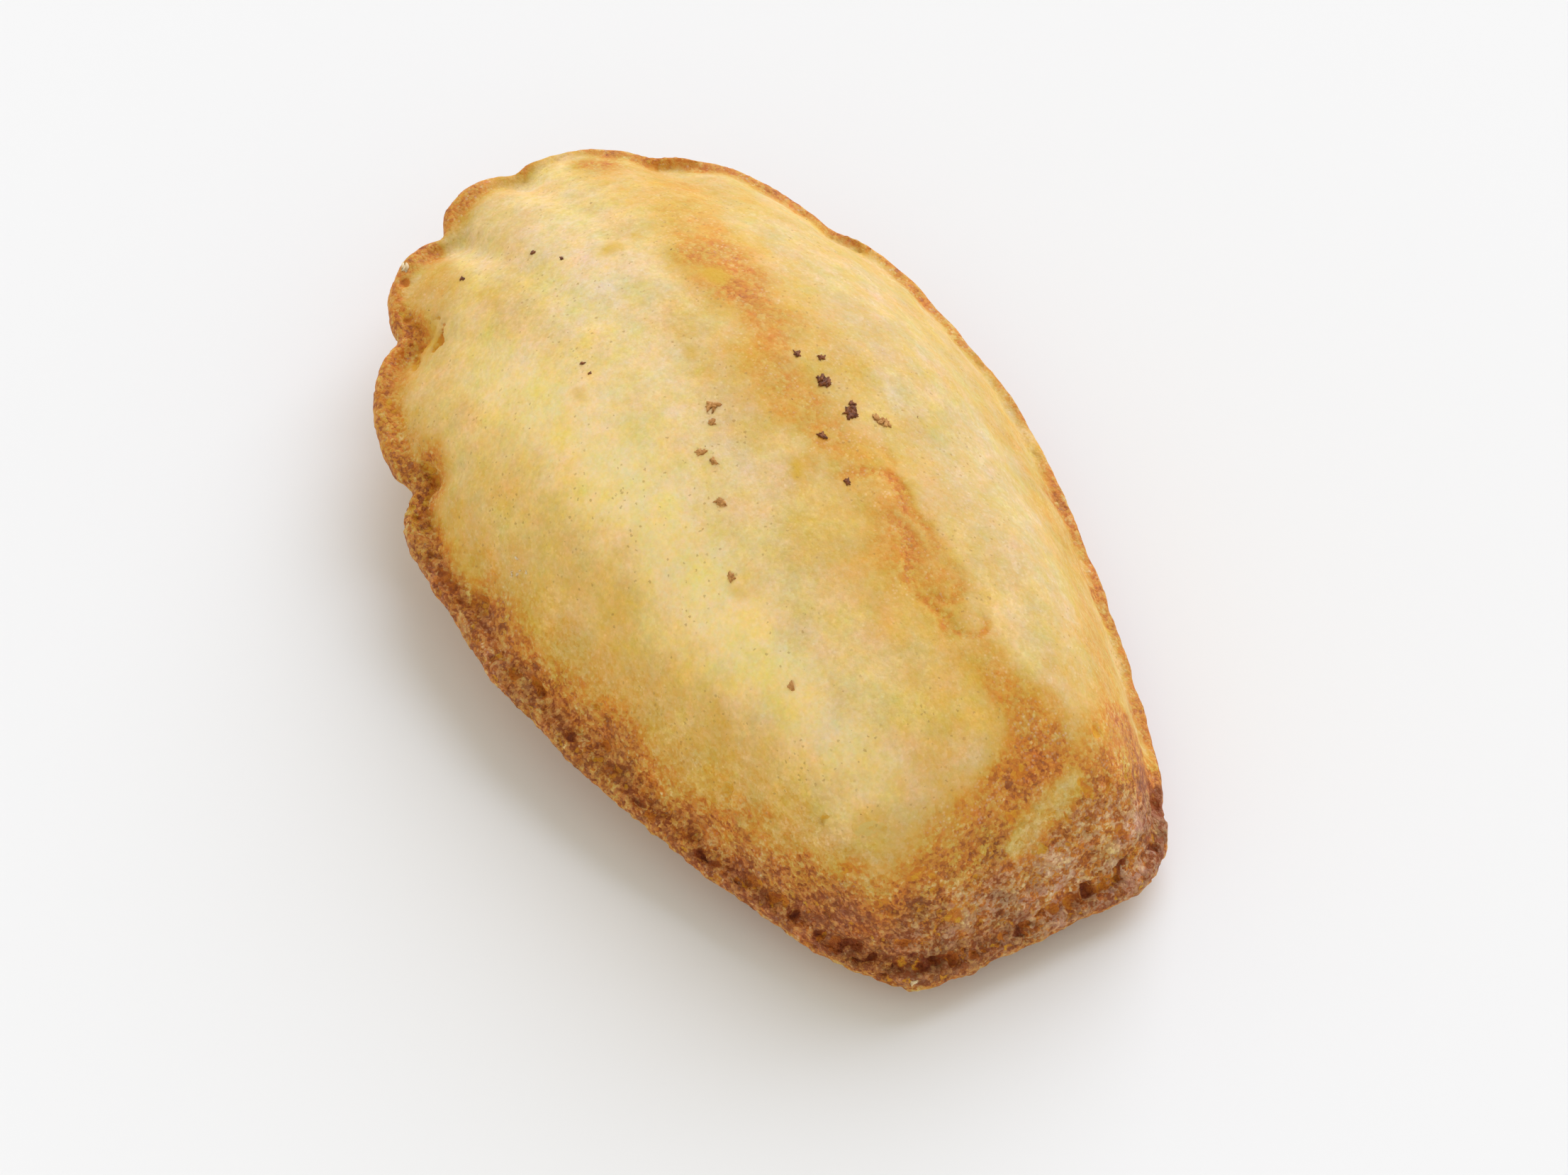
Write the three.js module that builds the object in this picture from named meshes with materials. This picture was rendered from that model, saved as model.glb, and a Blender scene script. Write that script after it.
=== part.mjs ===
// Madeleine: a small sponge cake baked in a shell-shaped mould, lying shell side up on its baked hump.
//
// The cake is one solid. It is shaped in the frame of its rim, in millimetres: the rim lies in the plane
// z = 0, the ribbed shell rises above it and the hump bulges below it, the wide scalloped end points to -X
// and the narrow end to +X. The finished surface is then pitched, narrow end down, and lifted until the
// cake stands on the flat spot of its hump in the plane z = 0.
import * as THREE from "three";

const { degToRad, lerp, smoothstep } = THREE.MathUtils;

// Driving dimensions
const LENGTH = 78; // rim, from the tip of the wide end to the narrow end
const WIDTH = 47.5; // rim at its widest
const SHELL_HEIGHT = 14.8; // top of the shell above the plane of the rim
const HUMP_DEPTH = 5.7; // hump below the underside of the lip
const RIM_LIFT = 6.95; // middle of the rim's plane above the table
const REST_PITCH = degToRad(5);

// Outline of the rim
const WIDEST_X = -4.2;
const NARROW_WIDTH = 24.5; // where the sides would meet the narrow end
const SIDE_CURVE = 1.58; // 1 draws the sides in along straight lines
const WIDE_SQUARENESS = 2; // an ellipse
const NARROW_SQUARENESS = 9; // a flat end with rounded corners
const END_SKEW = 0.08; // the narrow end is cut a little askew
const END_SKEW_POWER = 6; // keeps the skew to the last few millimetres

// Ribs: they fan out from the narrow end, each a rounded crest between two grooves
const GROOVES = [3, 10.4, 18.5, 23, 28]; // either side of the middle line, where the cake is widest
const FAN_SPREAD = 0.45; // share by which the fan widens up to the wide tip
const FAN_DRIFT = -3.4; // sideways drift of the fan up to the wide tip
const FAN_POWER = 1.5; // how late the spread and the drift set in
const SCALLOP_DEPTH_RIGHT = 2.5; // notches between the scallops of the wide end, on the -Y side
const SCALLOP_DEPTH_LEFT = 1.2; // and on the +Y side
const SCALLOPS_CHANGE_Y = [-12, 6]; // from one depth to the other
const SCALLOPS_END_X = [-15, 3]; // the scallops fade out along this stretch of the sides
const GROOVE_DEPTH_TOP = 0.12; // grooves on top of the shell
const GROOVE_DEPTH_RIM = 0.95; // and near the rim
const GROOVE_GROWTH = 3; // how late they deepen on the way down
const GROOVES_END_X = [14, 34]; // they fade out towards the narrow end
const GROOVE_SHARPNESS = 3; // power of the relief across a rib
const SCALLOP_REACH = 7; // power by which the scallops die away up the shell

// Shell: its height falls off as 1 - r ** steepness along rays from the middle of the top to the rim
const TOP_X = 6;
const WIDE_STEEPNESS = 2.2;
const SIDE_STEEPNESS = 2.7;
const NARROW_STEEPNESS = 6;
const TURN_POWER = 1.7; // how the steepness turns from the sides to the ends

// Lip: a rounded bead outside the foot of the shell
const LIP_WIDTH_RIGHT = 1.9; // on the -Y side
const LIP_WIDTH_LEFT = 1; // and on the +Y side
const LIP_CHANGES_Y = [-5, 4]; // from one width to the other
const LIP_WIDTH_NARROW = 1.1; // at the narrow end
const LIP_NARROWS_X = [18, 36];
const LIP_RISE = 1.15; // half the height of the bead
const LIP_MIDDLE_Z = -0.85;
const LIP_START_ANGLE = degToRad(145); // from the foot of the shell, over the bead, to its underside
const LIP_END_ANGLE = degToRad(-90);

// Hump
const HUMP_X = -12;
const HUMP_SHOULDER = 1.1; // above 1 the hump leaves the lip level and then bulges

// Mesh density
const EDGE_LENGTH = 1.25; // round the rim
const SHELL_RINGS = 14;
const RIM_CROWDING = 1.6; // above 1 the rings lie closer near the rim
const LIP_RINGS = 5;
const HUMP_RINGS = 7;
const OUTLINE_SAMPLES = 2880;

const CRUST_COLOUR = 0xd9ac63;

function sideHalfWidth(x) {
  const along = Math.max(0, x - WIDEST_X) / (LENGTH / 2 - WIDEST_X);
  return lerp(WIDTH / 2, NARROW_WIDTH / 2, along ** SIDE_CURVE);
}

/** Point of the rim's smooth outline, with no scallops, at an angle about the widest place. */
function outlinePoint(angle) {
  const c = Math.cos(angle);
  const s = Math.sin(angle);
  const squareness = c > 0 ? NARROW_SQUARENESS : WIDE_SQUARENESS;
  const reach = c > 0 ? LENGTH / 2 - WIDEST_X : LENGTH / 2 + WIDEST_X;
  const radius = (Math.abs(c) ** squareness + Math.abs(s) ** squareness) ** (-1 / squareness);
  const x = WIDEST_X + reach * radius * c;
  const y = sideHalfWidth(x) * radius * s;
  const skew = c > 0 ? END_SKEW * y * (radius * c) ** END_SKEW_POWER : 0;
  return new THREE.Vector2(x + skew, y);
}

/** Distance from the middle rib, as it would be where the cake is widest. */
function fanPosition(x, y) {
  const towardsTip = Math.max(0, (-2 * x) / LENGTH) ** FAN_POWER;
  const spread = (1 + FAN_SPREAD * towardsTip) * (sideHalfWidth(x) / sideHalfWidth(0));
  return (y - FAN_DRIFT * towardsTip) / spread;
}

/** Number of the rib that a point lies on: 0 in the middle, negative towards -Y. */
function ribNumber(x, y) {
  const position = fanPosition(x, y);
  const passed = GROOVES.filter((groove) => Math.abs(position) > groove).length;
  return Math.sign(position) * passed;
}

/** Place across a rib: 0 on its crest, 1 in the groove at either side. */
function acrossRib(x, y) {
  const position = Math.abs(fanPosition(x, y));
  const outer = GROOVES.findIndex((groove) => position <= groove);
  if (outer === 0) {
    return position / GROOVES[0];
  }
  if (outer < 0) {
    return 0;
  }
  const middle = (GROOVES[outer - 1] + GROOVES[outer]) / 2;
  return Math.abs(position - middle) / (GROOVES[outer] - middle);
}

function scallopDepth(x, y) {
  const depth = lerp(SCALLOP_DEPTH_RIGHT, SCALLOP_DEPTH_LEFT, smoothstep(y, ...SCALLOPS_CHANGE_Y));
  const fade = 1 - smoothstep(x, ...SCALLOPS_END_X);
  const across = Math.min(1, acrossRib(x, y));
  return depth * fade * (1 - Math.sqrt(1 - across ** 2));
}

function grooveDepth(x, y, r) {
  const fade = 1 - smoothstep(x, ...GROOVES_END_X);
  const depth = lerp(GROOVE_DEPTH_TOP, GROOVE_DEPTH_RIM, r ** GROOVE_GROWTH);
  return depth * fade * acrossRib(x, y) ** GROOVE_SHARPNESS;
}

function lipWidth(point) {
  const width = lerp(LIP_WIDTH_RIGHT, LIP_WIDTH_LEFT, smoothstep(point.y, ...LIP_CHANGES_Y));
  return lerp(width, LIP_WIDTH_NARROW, smoothstep(point.x, ...LIP_NARROWS_X));
}

/** Evenly spaced points along an open stretch of points, its last point left out. */
function respaced(stretch) {
  const lengths = [0];
  for (let i = 1; i < stretch.length; i++) {
    lengths.push(lengths[i - 1] + stretch[i].distanceTo(stretch[i - 1]));
  }
  const total = lengths[lengths.length - 1];
  const steps = Math.max(2, Math.round(total / EDGE_LENGTH));
  const points = [];
  let i = 1;
  for (let step = 0; step < steps; step++) {
    const wanted = (total * step) / steps;
    while (lengths[i] < wanted) {
      i += 1;
    }
    const share = (wanted - lengths[i - 1]) / (lengths[i] - lengths[i - 1]);
    points.push(stretch[i - 1].clone().lerp(stretch[i], share));
  }
  return points;
}

/** Points round the smooth outline, one of them at each groove, so that the notches come out sharp. */
function outlinePoints() {
  const samples = [];
  for (let i = 0; i < OUTLINE_SAMPLES; i++) {
    samples.push(outlinePoint((2 * Math.PI * i) / OUTLINE_SAMPLES));
  }
  const numbers = samples.map((point) => ribNumber(point.x, point.y));
  const first = numbers.findIndex((number, i) => number !== numbers.at(i - 1));
  const points = [];
  let stretch = [samples[first]];
  for (let i = 1; i <= OUTLINE_SAMPLES; i++) {
    const k = (first + i) % OUTLINE_SAMPLES;
    stretch.push(samples[k]);
    if (numbers[k] !== numbers.at(k - 1)) {
      points.push(...respaced(stretch));
      stretch = [samples[k]];
    }
  }
  return points;
}

/** Columns of the surface: a point of the smooth outline, the way inwards and the scallop's depth there. */
function makeColumns() {
  const points = outlinePoints();
  return points.map((point, i) => {
    const before = points.at(i - 1);
    const after = points[(i + 1) % points.length];
    const along = after.clone().sub(before).normalize();
    const inwards = new THREE.Vector2(-along.y, along.x);
    return { point, inwards, scallop: scallopDepth(point.x, point.y) };
  });
}

function insetPoint(column, inset) {
  return column.point.clone().addScaledVector(column.inwards, inset);
}

function steepnessAt(x, y) {
  const c = (x - TOP_X) / Math.max(1e-6, Math.hypot(x - TOP_X, y));
  const end = c > 0 ? NARROW_STEEPNESS : WIDE_STEEPNESS;
  return lerp(SIDE_STEEPNESS, end, Math.abs(c) ** TURN_POWER);
}

function shellPoint(column, r) {
  const foot = insetPoint(column, lipWidth(column.point) + column.scallop * r ** SCALLOP_REACH);
  const x = lerp(TOP_X, foot.x, r);
  const y = foot.y * r;
  const steepness = lerp(SIDE_STEEPNESS, steepnessAt(foot.x, foot.y), r);
  const height = SHELL_HEIGHT * (1 - r ** steepness);
  return new THREE.Vector3(x, y, height - grooveDepth(x, y, r));
}

function lipPoint(column, share) {
  const angle = lerp(LIP_START_ANGLE, LIP_END_ANGLE, share);
  const radius = lipWidth(column.point) / 2;
  const plan = insetPoint(column, column.scallop + radius * (1 - Math.cos(angle)));
  return new THREE.Vector3(plan.x, plan.y, LIP_MIDDLE_Z + LIP_RISE * Math.sin(angle));
}

function humpPoint(column, r) {
  const edge = insetPoint(column, lipWidth(column.point) / 2 + column.scallop * r ** SCALLOP_REACH);
  const z = LIP_MIDDLE_Z - LIP_RISE - HUMP_DEPTH * (1 - r ** 2) ** HUMP_SHOULDER;
  return new THREE.Vector3(lerp(HUMP_X, edge.x, r), edge.y * r, z);
}

/** Rings of the surface from the top of the shell, over the lip, to the middle of the hump. */
function makeRings(columns) {
  const rings = [];
  for (let i = 1; i <= SHELL_RINGS; i++) {
    const r = 1 - (1 - i / SHELL_RINGS) ** RIM_CROWDING;
    rings.push(columns.map((column) => shellPoint(column, r)));
  }
  for (let i = 1; i <= LIP_RINGS; i++) {
    rings.push(columns.map((column) => lipPoint(column, i / LIP_RINGS)));
  }
  for (let i = 1; i < HUMP_RINGS; i++) {
    rings.push(columns.map((column) => humpPoint(column, 1 - i / HUMP_RINGS)));
  }
  return rings;
}

/** Rim frame to resting pose: pitched, lifted, and flat where the hump meets the table. */
function toRest(point) {
  const rested = point.clone().applyAxisAngle(new THREE.Vector3(0, 1, 0), REST_PITCH);
  rested.z = Math.max(0, rested.z + RIM_LIFT);
  return rested;
}

/** One closed surface through the rings, with a fan of triangles at the top and one at the bottom. */
function closedGeometry(rings, top, bottom) {
  const count = rings[0].length;
  const points = [top, ...rings.flat(), bottom].map(toRest);
  const last = points.length - 1;
  const indices = [];
  for (let j = 0; j < count; j++) {
    const next = (j + 1) % count;
    indices.push(0, 1 + j, 1 + next);
    for (let i = 1; i < rings.length; i++) {
      const upper = 1 + (i - 1) * count;
      const lower = upper + count;
      indices.push(upper + j, lower + j, lower + next);
      indices.push(upper + j, lower + next, upper + next);
    }
    indices.push(last - count + j, last, last - count + next);
  }
  const geometry = new THREE.BufferGeometry().setFromPoints(points);
  geometry.setIndex(indices);
  geometry.computeVertexNormals();
  return geometry;
}

/** Moves the middle of the footprint onto the Z axis. */
function centreOverOrigin(geometry) {
  geometry.computeBoundingBox();
  const middle = geometry.boundingBox.getCenter(new THREE.Vector3());
  geometry.translate(-middle.x, -middle.y, 0);
}

function makeCake() {
  const rings = makeRings(makeColumns());
  const top = new THREE.Vector3(TOP_X, 0, SHELL_HEIGHT);
  const bottom = new THREE.Vector3(HUMP_X, 0, LIP_MIDDLE_Z - LIP_RISE - HUMP_DEPTH);
  const geometry = closedGeometry(rings, top, bottom);
  centreOverOrigin(geometry);
  const crust = new THREE.MeshStandardMaterial({ color: CRUST_COLOUR, roughness: 0.75, metalness: 0 });
  const cake = new THREE.Mesh(geometry, crust);
  cake.name = "cake";
  return cake;
}

const madeleine = new THREE.Group();
madeleine.add(makeCake());

export default madeleine;
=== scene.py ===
"""A baked madeleine, shell side up: its crust with the browning and the pits, and its crumbs."""
import collections
import itertools
import math

import bmesh
import bpy
import numpy as np
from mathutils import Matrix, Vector, kdtree
from mathutils.bvhtree import BVHTree


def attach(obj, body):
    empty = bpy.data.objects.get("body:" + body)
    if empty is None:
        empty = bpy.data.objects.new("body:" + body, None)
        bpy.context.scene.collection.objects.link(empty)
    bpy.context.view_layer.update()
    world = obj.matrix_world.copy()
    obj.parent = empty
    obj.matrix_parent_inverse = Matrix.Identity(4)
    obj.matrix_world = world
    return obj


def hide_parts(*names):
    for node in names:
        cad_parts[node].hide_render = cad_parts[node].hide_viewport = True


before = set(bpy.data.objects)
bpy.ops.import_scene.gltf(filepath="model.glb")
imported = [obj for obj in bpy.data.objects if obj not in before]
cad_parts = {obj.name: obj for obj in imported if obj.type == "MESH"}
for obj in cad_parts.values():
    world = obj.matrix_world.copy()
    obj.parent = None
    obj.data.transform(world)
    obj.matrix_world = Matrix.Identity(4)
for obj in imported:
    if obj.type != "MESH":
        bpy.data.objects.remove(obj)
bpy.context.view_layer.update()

MM = 0.001

# ---- Where things are ------------------------------------------
# The rim frame lies in the plane of the cake's rim, in millimetres: x runs from the wide end
# to the narrow end, y to the left of that, z up from the rim. The cake rests pitched, so
# that its wide end is raised.
REST_PITCH = math.radians(5.0)
RIM_MIDDLE = (-0.3066, -0.065, 6.95)

# ---- Camera, light and floor -----------------------------------
CAMERA_AZIMUTH = math.radians(57.735)
CAMERA_ELEVATION = math.radians(55.0)
CAMERA_TARGET = Vector((6.975, -2.253, 10.0)) * MM
CAMERA_DISTANCE = 320.18 * MM
CAMERA_LENS = 100.0
SENSOR_WIDTH = 36.0

SUN_BEARING = math.radians(124.0)  # from +X towards +Y
SUN_ELEVATION = math.radians(38.0)
SUN_SPREAD = math.radians(58.0)
SUN_STRENGTH = 2.05
SUN_COLOUR = (0.94, 1.0, 1.2)
SKY_COLOUR = (1.035, 1.0, 0.885)
SKY_HORIZON = 1.6
SKY_ABOVE = 0.58
SKY_BAND = (0.12, 0.5)  # sine of the elevation, over which the horizon's light fades
FLOOR_COLOUR = (0.865, 0.865, 0.865, 1.0)
FLOOR_SIZE = 6.0

# ---- The crust's mesh ------------------------------------------
WELD = 0.001 * MM
JOIN_FACE_ANGLE = 0.6
JOIN_SHAPE_ANGLE = 1.2
VOXEL = 0.41 * MM
SMOOTH_LEVELS = 2
REFINE_SMOOTH = 0.5
OUTLINE_STEPS = 8  # between two of the outline's points
NEAR_SLANT = 0.3  # the near half is bounded by a line that rises by this much along x
# Where the crust is torn, and where batter curls in the band, the mesh is twice as fine
FINE_INSET = 4.0
FINE_NEAR_Y = 2.0
FINE_NARROW_X = 31.0
FINE_BOTTOM = -2.2
FINE_CURLS_X = (3.5, 23.5)
FINE_CURLS_Y = (0.5, 7.5)

# ---- Seeds -----------------------------------------------------
SEED_SHAPE = 11
SEED_BROWNING = 23
SEED_CRUMBS = 51

# ---- Relief ----------------------------------------------------
# A layer of noise is given by its size in millimetres, its octaves, its strength and a shift
# that sets it apart from the others. A pair is where a share starts and where it is full.
SWELL = (12.0, 2, 0.16, 0.0)
GRIT = (1.8, 2, 0.04, 40.0)
CRAGS = ((1.5, 2, 0.12, 80.0), (0.8, 2, 0.1, 100.0))
PORES = (0.8, 1, 1.0, 120.0)
PORES_OPEN = (0.25, 0.5)
PORE_DEPTH = 0.16
# Pores in coarse crumb are sunk and given painted shade and glow
PORE_HOLLOW = 0.5
PORE_SHADE = 0.45
LIP_WAVES = (3.1, 1, 0.16, 160.0)
LIP_WAVES_SQUEEZE = (1.0, 1.0, 0.3)
LIP_WAVES_INSET = 3.0
RELIEF_RANGE = 0.8
# Sideways wobble of the edges of curls, cracks and pits, with a shift for each axis
EDGE_WOBBLE = (1.1, 2, 0.3)
EDGE_WOBBLE_SHIFTS = (200.0, 230.0, 260.0)

# Where the crumb is coarse: the lip, the near side and the narrow end, and less so low down
COARSE_LIP_INSET = (1.4, 3.0)
COARSE_LIP_NEAR = (0.0, 6.0)
COARSE_LIP_FAR_SHARE = 0.25
COARSE_LIP_X = (-26.0, -14.0)
COARSE_LIP_WIDE_SHARE = 0.4
COARSE_SIDE_INSET = (2.5, 7.0)
COARSE_SIDE_NEAR = (4.0, 10.0)
COARSE_SIDE_X = (-16.0, 4.0)
COARSE_SIDE_SHARE = 0.7
COARSE_NARROW_X = (31.5, 35.5)
COARSE_BOTTOM = (-2.6, -1.2)
COARSE_BOTTOM_SHARE = 0.35

# ---- Browning --------------------------------------------------
BASE_BROWN = 0.27
BROWN_DRIFT = (11.0, 2, 0.05, 200.0)
BROWN_MOTTLE = (3.0, 2, 0.035, 240.0)
# Brush strokes on the top, in the rim frame: x, y, half width, strength at each point. A stroke
# fades between these multiples of its half width, and wanders sideways.
STROKE_FADE = (0.25, 1.55)
STROKE_WANDER = (4.0, 3, 0.9)
STROKE_WANDER_SHIFTS = (60.0, 120.0)
STROKES = (
    # the honey-brown band along the middle rib
    (
        (-31.0, 9.0, 2.6, 0.1), (-26.0, 8.4, 3.0, 0.18), (-21.0, 6.8, 2.6, 0.26), (-16.5, 6.2, 3.0, 0.42),
        (-12.0, 5.4, 2.6, 0.42), (-8.0, 5.0, 2.2, 0.3), (-4.0, 3.6, 2.5, 0.28), (0.0, 3.4, 2.4, 0.28),
        (4.0, 3.8, 2.2, 0.28), (8.0, 4.0, 2.2, 0.2), (13.0, 3.6, 2.6, 0.3), (17.0, 3.2, 2.6, 0.3),
        (21.0, 2.4, 2.2, 0.2), (25.0, 3.0, 2.0, 0.34), (28.5, 3.6, 2.4, 0.44), (31.5, 2.4, 2.8, 0.48),
    ),
    ((2.6, 2.0, 0.8, 0.1), (4.2, 0.4, 0.6, 0.08)),
    # patch on the rim of the wide tip
    ((-34.4, 6.4, 1.8, 0.4), (-31.5, 5.4, 1.6, 0.14)),
    # faint tan over the middle and over the far side
    ((-17.0, 9.6, 2.4, 0.1), (-8.0, 8.4, 2.4, 0.1), (0.0, 7.4, 2.0, 0.08)),
    ((-14.0, 0.8, 2.0, 0.06), (2.0, -0.5, 3.0, 0.06), (16.0, -2.0, 3.2, 0.1), (27.0, -2.6, 3.0, 0.1)),
    ((-22.0, 12.0, 5.0, 0.05), (0.0, 14.0, 6.0, 0.04), (16.0, 12.0, 5.0, 0.06), (26.0, 10.0, 3.0, 0.08)),
    # tan round the scallops and along the far side
    ((-35.5, -1.0, 1.6, 0.12), (-32.0, -9.5, 2.6, 0.14), (-26.0, -13.0, 2.0, 0.12)),
    ((-33.0, 8.5, 2.2, 0.12), (-25.0, 14.0, 2.4, 0.1), (-12.0, 19.5, 2.0, 0.08), (2.0, 20.4, 2.0, 0.12),
     (14.0, 17.8, 2.0, 0.2), (24.0, 14.2, 2.2, 0.24), (30.0, 11.6, 2.4, 0.26)),
    # golden near side
    ((-17.0, -17.5, 2.8, 0.06), (-6.0, -19.0, 3.4, 0.16), (6.0, -18.4, 3.4, 0.16), (18.0, -16.2, 2.4, 0.2),
     (27.0, -13.4, 1.8, 0.12)),
    # lip of the near corner
    ((28.0, -16.0, 1.2, 0.2), (33.5, -13.4, 1.2, 0.4), (37.2, -10.4, 1.2, 0.4)),
    # shoulder of the narrow end
    ((31.8, -8.0, 1.6, 0.12), (32.6, -3.0, 2.4, 0.27), (32.0, 3.0, 2.4, 0.2), (31.4, 8.6, 2.6, 0.28)),
    # its corners
    ((28.5, -13.6, 1.4, 0.2), (31.0, -12.2, 1.8, 0.34), (33.5, -10.4, 2.0, 0.42), (35.8, -8.6, 1.8, 0.42)),
    ((31.0, 12.4, 1.8, 0.38), (34.4, 12.6, 2.2, 0.72), (36.8, 11.4, 2.4, 0.66)),
)
# Curls of batter in the band: fine brown lines that lie a little lower
CURLS = (
    ((4.6, 5.6, 0.35, 0.07), (5.9, 6.6, 0.35, 0.14), (7.2, 6.3, 0.4, 0.1)),
    ((5.8, 1.4, 0.4, 0.04), (6.5, 2.5, 0.45, 0.14), (6.9, 4.1, 0.45, 0.2), (7.6, 5.3, 0.45, 0.22),
     (8.6, 5.5, 0.5, 0.24), (9.8, 5.5, 0.6, 0.26), (11.3, 5.0, 0.5, 0.22), (12.7, 5.4, 0.5, 0.19),
     (14.7, 5.4, 0.5, 0.14), (17.5, 5.5, 0.5, 0.07)),
    ((11.2, 3.5, 0.5, 0.13), (12.9, 4.0, 0.6, 0.22), (14.3, 3.3, 0.7, 0.23), (16.2, 2.0, 0.6, 0.19),
     (17.4, 1.6, 0.5, 0.07)),
    ((17.7, 1.7, 0.35, 0.17), (18.4, 2.1, 0.35, 0.22), (19.7, 2.5, 0.35, 0.24), (20.5, 2.2, 0.35, 0.24),
     (21.1, 2.1, 0.4, 0.17)),
    ((18.0, 2.6, 0.35, 0.12), (18.8, 3.1, 0.35, 0.24), (19.1, 3.7, 0.35, 0.22), (18.9, 4.3, 0.5, 0.24),
     (18.2, 5.0, 0.5, 0.19)),
    ((19.8, 3.0, 0.3, 0.12), (20.5, 2.7, 0.3, 0.16), (21.2, 2.8, 0.35, 0.22), (21.8, 3.2, 0.3, 0.14),
     (22.2, 3.9, 0.3, 0.16), (22.1, 4.5, 0.35, 0.22), (21.5, 5.0, 0.35, 0.22), (20.9, 5.1, 0.3, 0.1)),
)
CURL_WANDER = 0.15  # a share of the strokes' wander
CURL_WOBBLE = 0.5  # a share of the edges' wobble
CURL_DEPTH = 0.3  # for a strength of 1
# Strokes for what stays paler by that share
PALE_STROKES = (
    # the groove on the near side
    ((-25.0, -12.0, 2.0, 0.25), (-16.0, -11.4, 2.8, 0.6), (-4.0, -10.8, 2.8, 0.8), (8.0, -10.4, 2.7, 0.8),
     (18.0, -9.6, 2.6, 0.7), (27.0, -8.4, 2.2, 0.5)),
    # above it
    ((-26.0, -2.0, 3.6, 0.32), (-17.0, -4.0, 4.2, 0.4), (-8.0, -6.5, 5.0, 0.34), (8.0, -7.5, 5.0, 0.32),
     (24.0, -6.6, 4.0, 0.26)),
    # over the middle of the near side
    ((-15.0, -15.5, 2.8, 0.2), (-3.0, -15.6, 2.8, 0.3), (6.0, -15.2, 2.4, 0.16), (14.0, -14.2, 2.0, 0.1)),
    # beside the tip
    ((-35.4, 3.0, 1.2, 0.3), (-35.0, -3.0, 1.0, 0.1), (-33.6, -6.2, 1.4, 0.6), (-28.0, -7.0, 2.0, 0.1)),
)

# The narrow end's wall: brown from here on
NARROW_BROWN_X = (30.5, 34.5)
NARROW_BROWN = 0.47
NARROW_WANDER = 0.9  # a share of the strokes' wander

# The near side's brown edge: places along x, how far it reaches in from the rim, and how brown it is
EDGE_X = (-40.0, -30.0, -24.0, -14.0, -4.0, 8.0, 20.0, 29.0, 40.0)
EDGE_REACH = (1.9, 2.2, 3.2, 2.9, 3.4, 3.4, 3.4, 3.1, 2.2)
EDGE_BROWN = (0.46, 0.46, 0.52, 0.6, 0.63, 0.63, 0.67, 0.72, 0.7)
EDGE_FADE = (0.35, 1.25)  # shares of its reach
EDGE_WAVES = (5.0, 3, 0.9, 280.0)
EDGE_NEAR = (-2.0, 3.0)
FAR_EDGE_INSET = (0.4, 1.6)
FAR_EDGE_BROWN = 0.45

# The underside, browner towards the rim
UNDER_BROWN = 0.46
UNDER_MOTTLE = (9.0, 3, 0.14, 320.0)
UNDER_RIM_BROWN = 0.2
UNDER_RIM_INSET = (1.5, 6.0)

# Pinkish torn crumb: the narrow end's wall, the brown edge on both sides of the near corner, and the lip
PINK_WALL_X = (33.4, 36.4)
PINK_WALL_WANDER = 0.8  # a share of the strokes' wander
PINK_EDGE = 0.45
PINK_EDGE_X = (-8.0, 14.0)
PINK_LIP = 0.35
PINK_LIP_X = (-20.0, -6.0)
PINK_LIP_INSET = (1.0, 2.2)
PINK_LIP_LOSS = 0.5  # of the wall's and the edge's pink
PINK_LIP_LOSS_NEAR = (0.0, 6.0)

# Where the crust is more yellow, and where it is less so
YELLOW_STROKES = (
    ((-24.0, -14.0, 7.0, 0.5), (-14.0, -14.5, 7.0, 0.9), (4.0, -14.5, 7.5, 1.0), (18.0, -13.0, 7.0, 1.0),
     (26.0, -10.0, 5.0, 0.6)),
    ((-28.0, 8.0, 3.0, 0.5), (-8.0, 4.0, 3.0, 0.5), (10.0, 2.5, 5.0, 0.8), (24.0, 0.0, 5.0, 0.9)),
)
CHALKY_STROKES = (
    ((-16.0, 16.0, 5.0, 0.4), (-4.0, 15.0, 6.0, 1.0), (12.0, 13.5, 6.0, 1.0), (24.0, 11.0, 4.0, 0.5)),
    ((-31.0, -5.0, 4.0, 0.2), (-24.0, -4.0, 5.0, 0.45), (-16.0, -3.0, 4.0, 0.4)),
)

# Translucent yolk-yellow spots: x, y, half length, half width, turn in degrees, strength
YOLK_SPOTS = (
    (-14.6, 4.6, 1.3, 0.8, 20, 1.0), (-22.0, 0.2, 1.1, 0.8, -40, 0.7), (-22.3, 2.6, 0.8, 0.5, -50, 0.6),
    (-8.6, -0.9, 1.0, 0.6, 10, 0.7), (-10.6, -9.0, 0.8, 0.5, 0, 0.5), (-26.0, -12.6, 1.4, 0.6, -20, 0.6),
    (4.3, -0.2, 1.0, 0.45, -32, 0.9), (10.3, -8.3, 0.9, 0.6, 20, 0.4),
)
YOLK_EDGE = (0.5, 1.3)
YOLK_WOBBLE = (4.0, 3, 0.35)
YOLK_WOBBLE_SHIFTS = (60.0, 120.0, 180.0)
# The pale scar on the narrow end's shoulder: x, y, half width
PALE_SCAR = ((33.4, 5.2, 0.8), (33.7, 3.0, 1.15), (34.3, 0.8, 1.15), (34.8, -0.6, 0.7))
SCAR_WANDER = 0.3  # a share of the strokes' wander
SCAR_PALENESS = 0.5
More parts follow.
